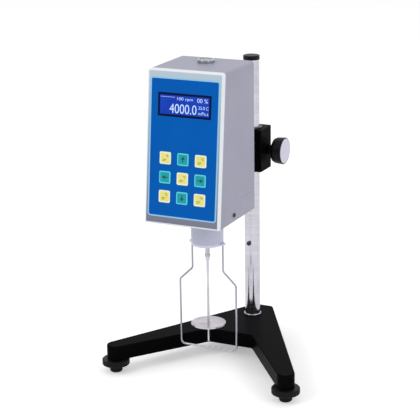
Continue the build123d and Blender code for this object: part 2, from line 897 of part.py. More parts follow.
def base_casting():
    casting = Pos(0, 0, base_bottom_z) * extrude(base_plan(0), amount=base_h)
    casting = fillet(casting.edges().filter_by(Axis.Z), base_corner_r)
    casting = fillet(casting.edges().group_by(Axis.Z)[-1], base_round)
    hollow = Pos(0, 0, base_bottom_z) * extrude(base_plan(base_wall), amount=base_h - base_wall)
    hollow -= upright(column_r + seat_wall, 0, base_top_z, 0, column_y)
    for x, y in feet.values():
        hollow -= upright(leg_end_r, 0, base_top_z, x, y)
    casting -= hollow
    casting -= upright(column_r + running, column_seat_z, base_top_z + over, 0, column_y)
    casting -= upright(bolt_r + bolt_play, base_bottom_z - over, base_top_z, 0, column_y)
    casting -= upright(bolt_head_r + bolt_play, base_bottom_z - over, bolt_seat_z, 0, column_y)
    for x, y in feet.values():
        casting -= upright(foot_stud_r + running, base_bottom_z - over, stud_top_z + over, x, y)
    keep("base_casting", casting)


def column():
    front_y = column_y - column_r
    bar = upright(column_r, column_seat_z, column_top_z, 0, column_y)
    bar -= box(-rack_w / 2 - slip, rack_w / 2 + slip, rack_back_y, column_y + column_r + over,
               rack_bottom_z, rack_top_z)
    bar -= upright(bolt_r, column_seat_z - over, bolt_top_z + over, 0, column_y)
    bar -= bar_y(stop_r + slip, front_y - over, front_y + stop_l + over, 0, stop_z)
    keep("column", bar)

    cap = upright(column_r + cap_lip, column_top_z, column_top_z + cap_h, 0, column_y)
    keep("column_cap", fillet(cap.edges().group_by(Axis.Z)[-1], cap_round))

    ring = upright(column_r + ring_lip, base_top_z, base_top_z + ring_h, 0, column_y)
    ring = fillet(ring.edges().group_by(Axis.Z)[-1], ring_lip / 2)
    keep("column_ring", ring - upright(column_r + slip, 0, column_top_z, 0, column_y))

    bolt = Rot(180, 0, 0) * socket_screw(bolt_r - slip, bolt_l, bolt_head_r, bolt_head_h)
    keep("column_bolt", Pos(0, column_y, bolt_seat_z) * bolt)
    screw = Rot(90, 0, 0) * socket_screw(stop_r, stop_l, stop_head_r, stop_head_h)
    keep("stop_screw", Pos(0, front_y, stop_z) * screw)


def rack():
    pitch = pi * rack_module
    half = pitch / 4 - tooth_play / 2
    lean = tan(pressure_angle)
    tip_y = rack_pitch_y + tooth_top
    root_y = rack_pitch_y - tooth_root
    points = [(rack_back_y, rack_bottom_z), (root_y, rack_bottom_z)]
    first = int((rack_bottom_z + rack_end - lift_z) / pitch)
    last = int((rack_top_z - rack_end - lift_z) / pitch)
    for tooth in range(first, last):
        middle = lift_z + (tooth + 0.5) * pitch
        points += [
            (root_y, middle - half - tooth_root * lean), (tip_y, middle - half + tooth_top * lean),
            (tip_y, middle + half - tooth_top * lean), (root_y, middle + half + tooth_root * lean),
        ]
    points += [(root_y, rack_top_z), (rack_back_y, rack_top_z)]
    keep("column_rack", side_shape(points, -rack_w / 2, rack_w / 2))


# Levelling feet

def levelling_feet():
    for name, (x, y) in feet.items():
        pad = upright(foot_pad_r, 0, foot_pad_h, x, y)
        pad = fillet(pad.edges().group_by(Axis.Z)[0], foot_pad_round)
        pad -= upright(foot_neck_r + running, neck_seat, foot_pad_h + over, x, y)
        keep(f"foot_pad_{name}", pad)

        wheel = upright(wheel_r, wheel_z, wheel_z + wheel_t, x, y)
        rims = wheel.edges().filter_by(GeomType.CIRCLE)
        wheel = chamfer(rims, wheel_chamfer)
        for rib_x, rib_y in around(wheel_ribs, wheel_r + rib_cut_r / 3):
            wheel -= upright(rib_cut_r, wheel_z - over, wheel_z + wheel_t + over,
                             x + rib_x, y + rib_y)
        wheel += upright(foot_stud_r, wheel_z + wheel_t, stud_top_z, x, y)
        wheel += upright(foot_neck_r, neck_seat + small_gap, wheel_z, x, y)
        keep(f"foot_screw_{name}", wheel)


# Carriage and lift

def carriage_block():
    block = box(-block_w / 2, block_w / 2, block_front_y, block_back_y,
                block_bottom_z, block_top_z)
    block = fillet(block.edges().filter_by(Axis.Z), block_corner_r)
    block += bar_y(socket_r, socket_y, block_front_y + block_corner_r, 0, rod_z)
    block -= upright(column_r + bore_relief, block_bottom_z - over, block_top_z + over,
                     0, column_y)
    for z0, z1 in ((block_bottom_z - over, block_bottom_z + bush_l),
                   (block_top_z - bush_l, block_top_z + over)):
        block -= upright(bush_r + slip, z0, z1, 0, column_y)
    room = pinion_r + tooth_top + over
    block -= box(-pinion_w / 2 - pinion_gap, pinion_w / 2 + pinion_gap,
                 rack_back_y, block_back_y + over, lift_z - room, lift_z + room)
    block -= bar_x(lift_shaft_r + running, -block_w, block_w, lift_y, lift_z)
    block -= box(0, block_w, column_y - slit_before, lift_y,
                 lift_z - slit_t / 2, lift_z + slit_t / 2)
    block -= bar_x(friction_r + slip, -block_w, -column_r, column_y, lift_z)
    block -= bar_y(rod_r + slip, socket_y - over, block_front_y - over, 0, rod_z)
    block -= upright(clamp_screw_r + slip, rod_z, rod_z + socket_r + over, 0, clamp_y)
    keep("carriage_block", block)


def carriage_bushes():
    bushes = []
    for z0, lip_z in ((block_bottom_z, block_bottom_z - bush_lip_t),
                      (block_top_z - bush_l, block_top_z)):
        bush = upright(bush_r, z0, z0 + bush_l, 0, column_y)
        bush += upright(bush_r + bush_lip, lip_z, lip_z + bush_lip_t, 0, column_y)
        bush -= upright(column_r + running, block_bottom_z - 2 * bush_lip_t,
                        block_top_z + 2 * bush_lip_t, 0, column_y)
        bushes.append(bush)
    keep("carriage_bushes", Part() + bushes)


def friction_screw():
    head_x = -block_w / 2 - friction_out
    screw = bar_x(friction_r, head_x, -column_r - small_gap, column_y, lift_z)
    head = bar_x(friction_head_r, head_x - friction_head_l, head_x, column_y, lift_z)
    for rib_y, rib_z in around(friction_ribs, friction_head_r + friction_rib_r / 4):
        head -= bar_x(friction_rib_r, head_x - friction_head_l - over, head_x + over,
                      column_y + rib_y, lift_z + rib_z)
    keep("friction_screw", screw + head)


def support_rod():
    flange_y = head_back_y + rod_flange_t
    rod = bar_y(rod_flange_r, head_back_y, flange_y, 0, rod_z)
    rod += bar_y(rod_r, flange_y, block_front_y - over, 0, rod_z)
    for x, z in rod_screws:
        rod -= bar_y(rod_screw_r + slip, head_back_y - over, flange_y + over, x, z)
    rod -= upright(clamp_screw_r + slip, rod_z + rod_r - dimple, rod_z + rod_r + over, 0, clamp_y)
    keep("support_rod", rod)

    screws = []
    for x, z in rod_screws:
        screw = socket_screw(rod_screw_r, rod_flange_t + rod_screw_in, rod_screw_head_r,
                             rod_screw_head_h)
        screws.append(Pos(x, flange_y, z) * Rot(-90, 0, 0) * screw)
    keep("flange_screws", Part() + screws)

    clamp = socket_screw(clamp_screw_r, socket_wall + dimple, clamp_head_r, clamp_head_h)
    keep("clamp_screw", Pos(0, clamp_y, rod_z + socket_r + small_gap) * clamp)


def lift():
    shaft = bar_x(lift_shaft_r, shaft_end_in - block_w / 2, knob_face_x - 2 * knob_face_t,
                  lift_y, lift_z)
    teeth = gear(rack_module, pinion_teeth, pinion_w, tooth_top, tooth_root, -pi / 2)
    shaft += Pos(-pinion_w / 2, lift_y, lift_z) * Rot(0, 90, 0) * teeth
    keep("lift_shaft", shaft)

    neck_x = block_w / 2 + knob_gap
    bore = lift_shaft_r + slip
    face_x = knob_face_x - knob_face_t
    profile = [
        (neck_x, bore), (neck_x, knob_neck_r), (knob_back_x, knob_neck_r),
        (knob_back_x, knob_back_r), (knob_back_x + knob_cone_l, knob_r - knob_round),
        (knob_face_x - knob_round, knob_r), (knob_face_x, knob_r - knob_round),
        (knob_face_x, knob_face_r + slip), (face_x, knob_face_r + slip), (face_x, bore),
    ]
    outline = make_face(Polyline(*[(x, r, 0) for x, r in profile], close=True))
    keep("lift_knob", Pos(0, lift_y, lift_z) * revolve(outline, axis=Axis.X))
    keep("lift_knob_face", bar_x(knob_face_r, face_x, knob_face_x, lift_y, lift_z))


head_cover()
bottom_pan()
rear_cover()
cover_screws()
front_bezel()
panel_sheet()
display()
keys()
key_board()
main_board()
power_supply()
power_inlet()
power_switch()
serial_port()
bubble_level()
boss()
guard()
spindle()
gear_plate()
drive()
motor()
base_casting()
column()
rack()
levelling_feet()
carriage_block()
carriage_bushes()
friction_screw()
support_rod()
lift()

os.makedirs("parts", exist_ok=True)
for node, solid in parts.items():
    export_step(solid, f"parts/{node}.step")
print(len(parts), "nodes")
print("spindle axis y", round(frame_shift.position.Y, 4))
print("lift axis y", round(frame_shift.position.Y + lift_y, 4), "z", round(lift_z, 4))
print("ports x", round(inlet_x, 3), round(rocker_x, 3), round(serial_x, 3), "z", round(port_z, 3))
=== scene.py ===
import bpy
import bmesh
import json
import math
from mathutils import Matrix, Vector

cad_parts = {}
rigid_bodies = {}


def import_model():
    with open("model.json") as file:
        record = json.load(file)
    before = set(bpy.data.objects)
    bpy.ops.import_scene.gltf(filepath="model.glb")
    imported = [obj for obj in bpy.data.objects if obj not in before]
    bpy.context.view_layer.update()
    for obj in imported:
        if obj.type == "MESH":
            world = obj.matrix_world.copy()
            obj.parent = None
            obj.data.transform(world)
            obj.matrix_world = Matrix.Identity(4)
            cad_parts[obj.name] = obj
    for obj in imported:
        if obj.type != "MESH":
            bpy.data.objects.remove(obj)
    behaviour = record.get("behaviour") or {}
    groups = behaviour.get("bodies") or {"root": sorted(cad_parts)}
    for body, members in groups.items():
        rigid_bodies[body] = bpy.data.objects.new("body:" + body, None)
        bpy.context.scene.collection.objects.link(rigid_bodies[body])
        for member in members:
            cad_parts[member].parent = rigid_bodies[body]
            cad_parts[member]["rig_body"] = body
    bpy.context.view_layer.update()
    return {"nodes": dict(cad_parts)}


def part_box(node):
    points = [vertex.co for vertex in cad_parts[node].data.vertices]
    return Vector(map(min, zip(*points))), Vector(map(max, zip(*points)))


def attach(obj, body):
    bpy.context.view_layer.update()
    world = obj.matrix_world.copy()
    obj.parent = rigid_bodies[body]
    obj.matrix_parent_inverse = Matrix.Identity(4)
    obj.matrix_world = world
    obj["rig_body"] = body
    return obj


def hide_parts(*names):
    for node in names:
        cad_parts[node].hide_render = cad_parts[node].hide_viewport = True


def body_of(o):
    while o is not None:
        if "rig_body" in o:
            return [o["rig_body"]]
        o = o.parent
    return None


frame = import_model()
nodes = frame["nodes"]
print("frame loaded,", len(nodes), "nodes")

# the sloping front face: its top edge, the way down it and the way out of it
panel = {
    "top": Vector((0.0, -0.11325, 0.435995)),
    "down": Vector((0.0, -0.10495, -0.99448)),
    "out": Vector((0.0, -0.99448, 0.10495)),
}
panelTurn = Matrix(((1.0, 0.0, 0.0),
                    (0.0, -panel["down"].y, panel["out"].y),
                    (0.0, -panel["down"].z, panel["out"].z))).to_4x4()


def onPanel(u, v, w):
    # millimetres across, down and out of the face, to a place in the frame
    spot = panel["top"] + panel["down"] * (v * 0.001) + panel["out"] * (w * 0.001)
    spot.x += u * 0.001
    return Matrix.Translation(spot) @ panelTurn


def bodyOf(node):
    return body_of(nodes[node])[0]


def paint(red, green, blue):
    # a colour as a paint chart gives it, 0 to 255
    def level(c):
        c = c / 255
        return c / 12.92 if c <= 0.04045 else ((c + 0.055) / 1.055) ** 2.4
    return (level(red), level(green), level(blue), 1.0)


class Wire:
    # a socket that sums can be written with
    def __init__(self, net, socket):
        self.net = net
        self.socket = socket

    def calc(self, operation, *others):
        values = {0: self}
        for number, other in enumerate(others):
            values[number + 1] = other
        return self.net.add("ShaderNodeMath", {"operation": operation}, values)

    def __add__(self, other):
        return self.calc("ADD", other)

    __radd__ = __add__

    def __sub__(self, other):
        return self.calc("SUBTRACT", other)

    def __rsub__(self, other):
        return self.net.add("ShaderNodeMath", {"operation": "SUBTRACT"}, {0: other, 1: self})

    def __mul__(self, other):
        return self.calc("MULTIPLY", other)

    __rmul__ = __mul__

    def __abs__(self):
        return self.calc("ABSOLUTE")

    def ramp(self, start, end):
        values = {"Value": self, "From Min": start, "From Max": end, "To Min": 0.0, "To Max": 1.0}
        return self.net.add("ShaderNodeMapRange", {"clamp": True}, values)


class Net:
    # the nodes of a material or of the world
    def __init__(self, tree, shader):
        self.tree = tree
        self.shader = tree.nodes[shader]

    def add(self, kind, settings=None, values=None, out=0):
        node = self.tree.nodes.new(kind)
        for key, value in (settings or {}).items():
            setattr(node, key, value)
        for key, value in (values or {}).items():
            if isinstance(value, Wire):
                self.tree.links.new(value.socket, node.inputs[key])
            else:
                node.inputs[key].default_value = value
        return Wire(self, node.outputs[out])

    def feed(self, socket, wire):
        self.tree.links.new(wire.socket, self.shader.inputs[socket])

    def mix(self, factor, first, second):
        return self.add("ShaderNodeMix", {"data_type": "RGBA"}, {0: factor, 6: first, 7: second}, 2)

    def shown(self):
        # 1 where the camera, a reflection or clear material looks, and 0 for light on the object
        camera = self.add("ShaderNodeLightPath", out="Is Camera Ray")
        mirrored = self.add("ShaderNodeLightPath", out="Is Glossy Ray")
        through = self.add("ShaderNodeLightPath", out="Is Transmission Ray")
        return camera.calc("MAXIMUM", mirrored).calc("MAXIMUM", through)


class Finish(Net):
    def __init__(self, name, fixed):
        self.material = bpy.data.materials.new(name)
        self.material.use_nodes = True
        super().__init__(self.material.node_tree, "Principled BSDF")
        for socket, value in fixed.items():
            self.shader.inputs[socket].default_value = value
        self.spot = self.add("ShaderNodeTexCoord", out="Object")

    def axis(self, letter):
        return self.add("ShaderNodeSeparateXYZ", None, {0: self.spot}, letter)

    def noise(self, scale, detail, stretch=(1.0, 1.0, 1.0)):
        place = self.add("ShaderNodeMapping", None, {"Vector": self.spot, "Scale": stretch})
        return self.add("ShaderNodeTexNoise", None, {"Vector": place, "Scale": scale, "Detail": detail})

    def bump(self, height, depth):
        values = {"Strength": 0.6, "Distance": depth, "Height": height}
        self.feed("Normal", self.add("ShaderNodeBump", None, values, "Normal"))

    def down(self):
        # distance down the front face, in millimetres
        y = (self.axis("Y") - panel["top"].y) * (panel["down"].y * 1000)
        return y + (self.axis("Z") - panel["top"].z) * (panel["down"].z * 1000)

    def frameDistance(self, across, along, halfWide, halfHigh, corner):
        # millimetres outside a rectangle with round corners, less than 0 inside it
        x = abs(across) - (halfWide - corner)
        y = abs(along) - (halfHigh - corner)
        near = x.calc("MAXIMUM", y).calc("MINIMUM", 0.0)
        x = x.calc("MAXIMUM", 0.0)
        y = y.calc("MAXIMUM", 0.0)
        return (x * x + y * y).calc("POWER", 0.5) + near - corner


def coating(name, look):
    # paint, enamel and moulded plastic: a slow change of tone and a fine skin
    f = Finish(name, {"Metallic": 0.0, "Specular IOR Level": look.get("shine", 0.5)})
    cloud = f.noise(14.0, 4.0)
    skin = f.noise(look["grain"], 3.0)
    speck = f.noise(look["grain"] * 3.3, 1.0)
    dust = f.noise(look["grain"] * 1.7, 6.0).ramp(0.60, 0.78)
    tone = f.mix(cloud.ramp(0.3, 0.7), look["colour"], look["other"])
    f.feed("Base Color", f.mix(dust * look.get("dust", 0.12), tone, look.get("fleck", look["other"])))
    f.feed("Roughness", look["rough"] + (cloud - 0.5) * 0.12 + dust * 0.05)
    f.bump(skin * 0.7 + speck * 0.3, look["depth"])
    return f.material


def metal(name, look):
    # tool lines along or round the piece, with cloudy wear between them
    f = Finish(name, {"Metallic": 1.0})
    lines = f.noise(look["lines"], 3.0, look["stretch"])
    cloud = f.noise(look.get("cloud", 40.0), 5.0)
    f.feed("Base Color", f.mix((lines * 0.6 + cloud * 0.4).ramp(0.3, 0.7), look["colour"], look["other"]))
    f.feed("Roughness", look["rough"] + (lines - 0.5) * 0.14 + (cloud - 0.5) * 0.10)
    f.bump(lines, look["depth"])
    return f.material


def circuit(name, look):
    # resist over copper tracks, with tinned pads
    f = Finish(name, {"Metallic": 0.0, "Coat Weight": 0.3})
    tracks = f.add("ShaderNodeTexBrick", {"offset": 0.5},
                   {"Vector": f.spot, "Scale": 160.0, "Mortar Size": 0.03}, "Fac")
    pads = f.add("ShaderNodeTexVoronoi", None, {"Vector": f.spot, "Scale": 260.0}).ramp(0.24, 0.2)
    tone = f.mix(tracks, look["resist"], look["track"])
    f.feed("Base Color", f.mix(pads, tone, look["pad"]))
    f.feed("Roughness", 0.42 - pads * 0.2)
    f.bump(tracks * 0.5 + pads, 0.00006)
    return f.material


def sheetFinish(name, look):
    # printed film on the front face: blue field, pale line round it, fine emboss
    f = Finish(name, {"Metallic": 0.0, "Specular IOR Level": 0.05})
    edge = f.frameDistance(f.axis("X") * 1000, f.down() - look["centre"],
                           look["halfWide"], look["halfHigh"], look["corner"])
    border = edge.ramp(-look["border"], -look["border"] + 0.35)
    cloud = f.noise(12.0, 3.0)
    grain = f.noise(2600.0, 2.0)
    tone = f.mix(cloud.ramp(0.3, 0.7), look["colour"], look["other"])
    f.feed("Base Color", f.mix(border, tone, look["line"]))
    f.feed("Roughness", 0.46 + (grain - 0.5) * 0.2)
    f.bump(grain, 0.00003)
    return f.material


def bezelFinish(name, look):
    # satin plate with painted light: a painted reflection makes it paler towards its top, painted shade
    # makes it darker towards its foot, and a painted highlight runs along its bevelled edge
    f = Finish(name, {"Metallic": 0.0, "Specular IOR Level": 0.3})
    down = f.down()
    edge = f.frameDistance(f.axis("X") * 1000, down - look["centre"],
                           look["halfWide"], look["halfHigh"], 1.0)
    # painted highlight: a pale band along the bevelled edge of the plate
    edgeHighlight = edge.ramp(-look["edge"] - 0.3, -look["edge"])
    skin = f.noise(1300.0, 3.0)
    cloud = f.noise(9.0, 4.0)
    # painted reflection and shade: the plate goes from pale at the top of the face to dark at its foot
    fade = (down + (cloud - 0.5) * 30.0).ramp(0.0, 2 * look["halfHigh"])
    tone = f.mix(fade, look["litTop"], look["shadedFoot"])
    f.feed("Base Color", f.mix(edgeHighlight, tone, look["edgeHighlight"]))
    f.feed("Roughness", 0.32 + (cloud - 0.5) * 0.12 - edgeHighlight * 0.08)
    f.bump(skin, 0.00004)
    return f.material


def keyFinish(name, look):
    # each key repeats at the pitch of the key board, so one finish serves them all
    f = Finish(name, {"Metallic": 0.0, "Specular IOR Level": 0.25})
    half = look["pitch"] / 2
    u = (f.axis("X") * 1000).calc("WRAP", half, -half)
    v = (f.down() - look["centre"]).calc("WRAP", half, -half)
    edge = f.frameDistance(u, v, look["half"], look["half"], 1.5)
    rim = edge.ramp(-look["rim"], -look["rim"] + 0.3)
    cloud = f.noise(90.0, 3.0)
    grain = f.noise(2400.0, 2.0)
    tone = f.mix(cloud.ramp(0.3, 0.7), look["colour"], look["other"])
    f.feed("Base Color", f.mix(rim, tone, look["line"]))
    f.feed("Roughness", 0.38 + (grain - 0.5) * 0.2)
    f.bump(grain - rim * 0.4, 0.00004)
    return f.material


def windowFinish(name, look):
    # backlit display behind clear acrylic: dark frame, glowing field, fine dots
    f = Finish(name, {"Metallic": 0.0, "Roughness": 0.14, "Specular IOR Level": 0.05,
                      "Emission Strength": 0.8})
    edge = f.frameDistance(f.axis("X") * 1000, f.down() - look["centre"],
                           look["halfWide"], look["halfHigh"], 1.5)
    inside = edge.ramp(-look["frame"] + 0.2, -look["frame"] - 0.2)
    glow = f.noise(25.0, 2.0)
    dots = f.add("ShaderNodeTexVoronoi", None, {"Vector": f.spot, "Scale": 1500.0})
    field = f.mix(glow.ramp(0.2, 0.8), look["field"], look["bright"])
    field = f.mix(dots.ramp(0.2, 0.6) * 0.15, field, look["dark"])
    f.feed("Base Color", f.mix(inside, look["dark"], look["base"]))
    f.feed("Emission Color", f.mix(inside, (0.0, 0.0, 0.0, 1.0), field))
    return f.material


def glowFinish(name, look):
    # lit segments of the display, a little uneven in their brightness
    f = Finish(name, {"Metallic": 0.0, "Roughness": 0.4, "Emission Strength": look["strength"]})
    pulse = f.noise(900.0, 2.0)
    f.feed("Base Color", f.mix(pulse, look["unlit"], look["unlitPale"]))
    f.feed("Emission Color", f.mix(pulse.ramp(0.2, 0.8), look["colour"], look["other"]))
    return f.material


def knurlFinish(name, look):
    # fine straight teeth round an upright piece
    f = Finish(name, {"Metallic": 1.0})
    angle = (f.axis("Y") - look["y"]).calc("ARCTAN2", f.axis("X") - look["x"])
    teeth = (angle * look["teeth"]).calc("SINE")
    height = f.axis("Z")
    foot = height.ramp(look["from"], look["from"] + look["fade"])
    band = foot * height.ramp(look["to"], look["to"] - look["fade"])
    wear = f.noise(60.0, 4.0)
    lines = f.noise(5.0, 3.0, (1.0, 1.0, 900.0))
    f.feed("Base Color", f.mix(wear.ramp(0.3, 0.7), look["colour"], look["other"]))
    f.feed("Roughness", look["rough"] + band * 0.15 + (wear - 0.5) * 0.1)
    f.bump(teeth * band + lines * 0.3, 0.00012)
    return f.material


def fluidFinish(name, look):
    # clear fluid under the level's glass, darker where the cup shows through
    f = Finish(name, {"Transmission Weight": 0.55, "IOR": 1.45, "Coat Weight": 0.3})
    tint = f.noise(160.0, 3.0)
    f.feed("Base Color", f.mix(tint.ramp(0.4, 0.6), look["colour"], look["other"]))
    f.feed("Roughness", 0.05 + tint * 0.06)
    return f.material


blackEnamel = coating("blackEnamel", {
    "colour": paint(6, 6, 8), "other": paint(13, 13, 15), "fleck": paint(26, 26, 29),
    "rough": 0.3, "grain": 420.0, "depth": 0.00004, "shine": 0.006, "dust": 0.1})
greyPaint = coating("greyPaint", {
    "colour": paint(150, 150, 171), "other": paint(160, 160, 180), "fleck": paint(176, 176, 192),
    "rough": 0.42, "grain": 900.0, "depth": 0.00008, "dust": 0.2})
palePaint = coating("palePaint", {
    "colour": paint(192, 195, 216), "other": paint(204, 207, 226), "fleck": paint(168, 170, 190),
    "rough": 0.36, "grain": 900.0, "depth": 0.00006})
# the plate's top and foot colours are painted reflection and painted shade, and its edge colour is a
# painted highlight
bezelPaint = bezelFinish("bezelPaint", {
    "litTop": paint(188, 205, 218), "shadedFoot": paint(122, 122, 141), "edgeHighlight": paint(238, 244, 250),
    "centre": 100.05, "halfWide": 53.0, "halfHigh": 100.05, "edge": 2.1})
blackPlastic = coating("blackPlastic", {
    "colour": paint(9, 9, 11), "other": paint(17, 17, 19), "fleck": paint(48, 48, 52),
    "rough": 0.42, "grain": 1500.0, "depth": 0.0001, "shine": 0.15})
boardPlastic = coating("boardPlastic", {
    "colour": paint(46, 47, 52), "other": paint(58, 60, 66), "rough": 0.5,
    "grain": 1200.0, "depth": 0.00008})
rubberBlack = coating("rubberBlack", {
    "colour": paint(14, 14, 15), "other": paint(24, 24, 26), "fleck": paint(70, 70, 72),
    "rough": 0.62, "grain": 800.0, "depth": 0.00012, "shine": 0.12, "dust": 0.2})
groundSteel = metal("groundSteel", {
    "colour": paint(172, 170, 180), "other": paint(210, 208, 216), "rough": 0.13,
    "lines": 6.0, "stretch": (1.0, 1.0, 260.0), "depth": 0.00002})
drawnSteel = metal("drawnSteel", {
    "colour": paint(138, 138, 148), "other": paint(170, 170, 180), "rough": 0.24,
    "lines": 1400.0, "stretch": (1.0, 1.0, 0.03), "depth": 0.00003})
darkSteel = metal("darkSteel", {
    "colour": paint(52, 53, 58), "other": paint(78, 79, 86), "rough": 0.34,
    "lines": 700.0, "stretch": (1.0, 1.0, 0.4), "depth": 0.00004})
turnedSilver = metal("turnedSilver", {
    "colour": paint(184, 182, 200), "other": paint(200, 198, 214), "rough": 0.3,
    "lines": 900.0, "stretch": (1.0, 1.0, 1.0), "depth": 0.00003})
chromePlate = metal("chromePlate", {
    "colour": paint(120, 122, 128), "other": paint(206, 208, 214), "rough": 0.1, "cloud": 260.0,
    "lines": 300.0, "stretch": (1.0, 1.0, 4.0), "depth": 0.00001})
brightAlloy = metal("brightAlloy", {
    "colour": paint(192, 194, 200), "other": paint(212, 214, 220), "rough": 0.32,
    "lines": 900.0, "stretch": (0.06, 1.0, 1.0), "depth": 0.00004})
gearBrass = metal("gearBrass", {
    "colour": paint(190, 156, 84), "other": paint(212, 180, 110), "rough": 0.3,
    "lines": 800.0, "stretch": (1.0, 1.0, 3.0), "depth": 0.00003})
springAlloy = metal("springAlloy", {
    "colour": paint(150, 132, 112), "other": paint(182, 164, 140), "rough": 0.24,
    "lines": 1800.0, "stretch": (1.0, 1.0, 0.2), "depth": 0.00001})
motorShell = metal("motorShell", {
    "colour": paint(150, 152, 158), "other": paint(176, 178, 184), "rough": 0.36,
    "lines": 500.0, "stretch": (1.0, 1.0, 0.05), "depth": 0.00004})
blueSheet = sheetFinish("blueSheet", {
    "colour": paint(0, 90, 180), "other": paint(0, 97, 188), "line": paint(150, 206, 240),
    "centre": 99.9, "halfWide": 48.75, "halfHigh": 90.1, "corner": 4.0, "border": 2.0})
displayGlow = windowFinish("displayGlow", {
    "field": paint(20, 62, 190), "bright": paint(34, 84, 214), "dark": paint(8, 20, 60),
    "base": paint(4, 14, 60), "centre": 44.2, "halfWide": 37.5, "halfHigh": 15.2, "frame": 3.0})
digitGlow = glowFinish("digitGlow", {
    "colour": paint(186, 214, 250), "other": paint(204, 224, 252), "strength": 0.9,
    "unlit": (0.06, 0.09, 0.16, 1.0), "unlitPale": (0.10, 0.14, 0.22, 1.0)})
circuitGreen = circuit("circuitGreen", {
    "resist": paint(14, 74, 44), "track": paint(34, 110, 66), "pad": paint(196, 178, 120)})
keyField = {"pitch": 25.0, "centre": 138.0, "half": 8.0, "rim": 1.7}  # millimetres on the front face
keyYellow = keyFinish("keyYellow", dict(
    keyField, colour=paint(236, 230, 122), other=paint(244, 238, 140), line=paint(246, 250, 240)))
keyTeal = keyFinish("keyTeal", dict(
    keyField, colour=paint(0, 158, 166), other=paint(6, 170, 178), line=paint(92, 220, 238)))
printInk = {"rough": 0.45, "grain": 1800.0, "depth": 0.00002}
markDark = coating("markDark", dict(printInk, colour=paint(20, 44, 62), other=paint(28, 56, 76)))
markOlive = coating("markOlive", dict(printInk, colour=paint(138, 140, 66), other=paint(160, 150, 70)))
markPale = coating("markPale", dict(printInk, colour=paint(222, 222, 224), other=paint(236, 236, 238)))
spindleSteel = knurlFinish("spindleSteel", {
    "x": 0.0, "y": -0.05675, "from": 0.1734, "to": 0.1767, "fade": 0.0002, "teeth": 40.0,
    "colour": paint(172, 168, 176), "other": paint(206, 200, 208), "rough": 0.22})
vialFluid = fluidFinish("vialFluid", {"colour": paint(60, 66, 52), "other": paint(196, 208, 168)})
print("finishes made")

# which finish each carried-over node wears
wearing = {
    "base_casting": blackEnamel, "column": groundSteel, "column_rack": drawnSteel,
    "column_cap": blackPlastic, "column_ring": chromePlate, "column_bolt": darkSteel,
    "stop_screw": darkSteel, "carriage_block": blackEnamel, "carriage_bushes": darkSteel,
    "friction_screw": blackPlastic, "support_rod": drawnSteel, "clamp_screw": darkSteel,
    "flange_screws": darkSteel, "head_cover": greyPaint, "bottom_pan": greyPaint,
    "rear_cover": greyPaint, "cover_screws": darkSteel, "front_bezel": bezelPaint,
    "panel_sheet": blueSheet, "display_window": displayGlow, "display_module": boardPlastic,
    "key_board": circuitGreen, "main_board": circuitGreen, "power_supply": brightAlloy,
    "motor": motorShell, "gear_plate": brightAlloy, "level_cup": chromePlate,
    "level_vial": vialFluid, "lower_boss": palePaint, "guard_ring": turnedSilver,
    "guard_frame": drawnSteel, "power_inlet": blackPlastic, "rocker_frame": blackPlastic,
    "serial_port": brightAlloy, "drive_shaft": drawnSteel, "drive_gear": gearBrass,
    "calibrated_spring": springAlloy, "motor_pinion": gearBrass, "pivot_shaft": drawnSteel,
    "spindle_coupling": spindleSteel, "spindle": spindleSteel, "lift_shaft": drawnSteel,
    "lift_knob": blackPlastic, "lift_knob_face": turnedSilver, "power_rocker": blackPlastic,
    "foot_pad_left": rubberBlack, "foot_pad_right": rubberBlack, "foot_pad_rear": rubberBlack,
    "foot_screw_left": blackPlastic, "foot_screw_right": blackPlastic, "foot_screw_rear": blackPlastic,
}
for row in (1, 2, 3):
    for column in (1, 2, 3):
        wearing["key_%d_%d" % (row, column)] = keyYellow
for name, finish in wearing.items():
    mesh = nodes[name].data
    mesh.materials.clear()
    mesh.materials.append(finish)
print("carried-over nodes finished:", len(wearing), "of", len(nodes))


def alone():
    bpy.ops.object.select_all(action="DESELECT")


def settle(name, matrix, finish, body):
    # the active object's place goes into its mesh, and it gets its name, finish and body
    piece = bpy.context.object
    piece.data.transform(matrix)
    piece.data.update()
    piece.matrix_world = Matrix.Identity(4)
    piece.name = name
    piece.data.name = name
    piece.data.materials.clear()
    piece.data.materials.append(finish)
    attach(piece, body)


def copyOf(source, name, matrix, finish):
    # another piece of the same shape, with its own mesh and finish
    piece = bpy.data.objects.new(name, source.data.copy())
    bpy.context.collection.objects.link(piece)
    piece.data.transform(matrix)
    piece.data.materials.clear()
    piece.data.materials.append(finish)
    return piece


def pick(test, mode="FACE"):
    # selects faces or edges of the piece in edit mode by their middle and normal
    bpy.ops.mesh.select_mode(type=mode)
    bpy.ops.mesh.select_all(action="DESELECT")
    cage = bmesh.from_edit_mesh(bpy.context.object.data)
    for part in cage.faces if mode == "FACE" else cage.edges:
        if mode == "FACE":
            part.select_set(test(part.calc_center_median(), part.normal))
        else:
            a, b = part.verts
            part.select_set(test((a.co + b.co) / 2, (b.co - a.co).normalized()))
    bmesh.update_edit_mesh(bpy.context.object.data)


# keys: one cap is shaped flat at the origin, in millimetres, then copied to its places
keyCap = {"back": -0.9, "front": 0.5, "corner": 2.0, "edge": 0.3, "slope": 0.25, "dish": 0.12}
side = 2 * keyField["half"]
alone()
bpy.ops.mesh.primitive_cube_add(size=1.0, location=(0, 0, 0))
bpy.context.object.data.transform(
    Matrix.Translation((0, 0, (keyCap["back"] + keyCap["front"]) / 2))
    @ Matrix.Diagonal((side, side, keyCap["front"] - keyCap["back"], 1)))
bpy.ops.object.mode_set(mode="EDIT")
pick(lambda spot, way: abs(way.z) > 0.9, "EDGE")
bpy.ops.mesh.bevel(offset=keyCap["corner"], segments=5)
pick(lambda spot, way: abs(way.z) < 0.1 and spot.z > keyCap["front"] - 0.01, "EDGE")
bpy.ops.mesh.bevel(offset=keyCap["edge"], segments=3)
pick(lambda spot, way: way.z > 0.99 and spot.z > keyCap["front"] - 0.01)
